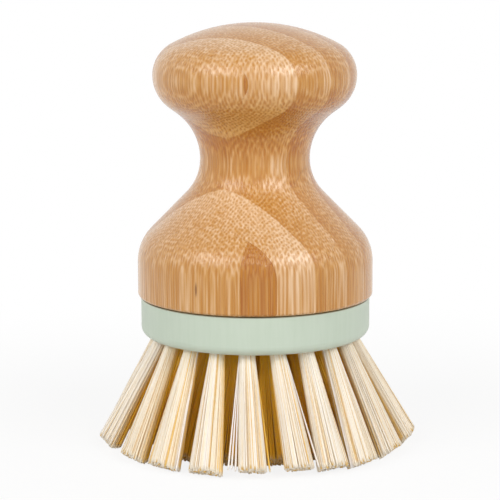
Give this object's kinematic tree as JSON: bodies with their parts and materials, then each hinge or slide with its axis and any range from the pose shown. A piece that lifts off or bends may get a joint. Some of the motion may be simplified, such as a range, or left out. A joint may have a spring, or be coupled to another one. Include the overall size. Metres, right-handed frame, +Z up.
{
  "type": "vegetable brush",
  "caption": "Hand-held vegetable brush: waisted turned bamboo knob handle on a sage green round block, with pale bristle tufts that fan outwards below it.",
  "frame": {"origin": "centre of the flat-trimmed bristle tips that the brush stands on, on the axis of the handle", "axes": "+Z up the axis of the handle from the bristle tips to the knob, -Y towards the viewer of the picture, +X to the viewer's right"},
  "size_m": [0.067, 0.067, 0.09],
  "materials": {
    "bamboo": "turned caramel and straw laminated bamboo under a thin satin lacquer",
    "green_paint": "matte sage green paint over turned bamboo, faint vertical grain showing through",
    "plant_fibre": "pale cream straight plant fibres, slightly glossy along their length",
    "anchor_wire": "flat drawn steel wire"
  },
  "bodies": {
    "root": {"bristle_block": "green_paint", "handle": "bamboo", "tuft_anchors": "anchor_wire", "tuft_centre_01": "plant_fibre", "tuft_inner_01": "plant_fibre", "tuft_inner_02": "plant_fibre", "tuft_inner_03": "plant_fibre", "tuft_inner_04": "plant_fibre", "tuft_inner_05": "plant_fibre", "tuft_inner_06": "plant_fibre", "tuft_inner_07": "plant_fibre", "tuft_middle_01": "plant_fibre", "tuft_middle_02": "plant_fibre", "tuft_middle_03": "plant_fibre", "tuft_middle_04": "plant_fibre", "tuft_middle_05": "plant_fibre", "tuft_middle_06": "plant_fibre", "tuft_middle_07": "plant_fibre", "tuft_middle_08": "plant_fibre", "tuft_middle_09": "plant_fibre", "tuft_middle_10": "plant_fibre", "tuft_middle_11": "plant_fibre", "tuft_middle_12": "plant_fibre", "tuft_middle_13": "plant_fibre", "tuft_outer_01": "plant_fibre", "tuft_outer_02": "plant_fibre", "tuft_outer_03": "plant_fibre", "tuft_outer_04": "plant_fibre", "tuft_outer_05": "plant_fibre", "tuft_outer_06": "plant_fibre", "tuft_outer_07": "plant_fibre", "tuft_outer_08": "plant_fibre", "tuft_outer_09": "plant_fibre", "tuft_outer_10": "plant_fibre", "tuft_outer_11": "plant_fibre", "tuft_outer_12": "plant_fibre", "tuft_outer_13": "plant_fibre", "tuft_outer_14": "plant_fibre", "tuft_outer_15": "plant_fibre", "tuft_outer_16": "plant_fibre", "tuft_outer_17": "plant_fibre", "tuft_outer_18": "plant_fibre", "tuft_outer_19": "plant_fibre", "tuft_outer_20": "plant_fibre"}
  },
  "joints": []
}
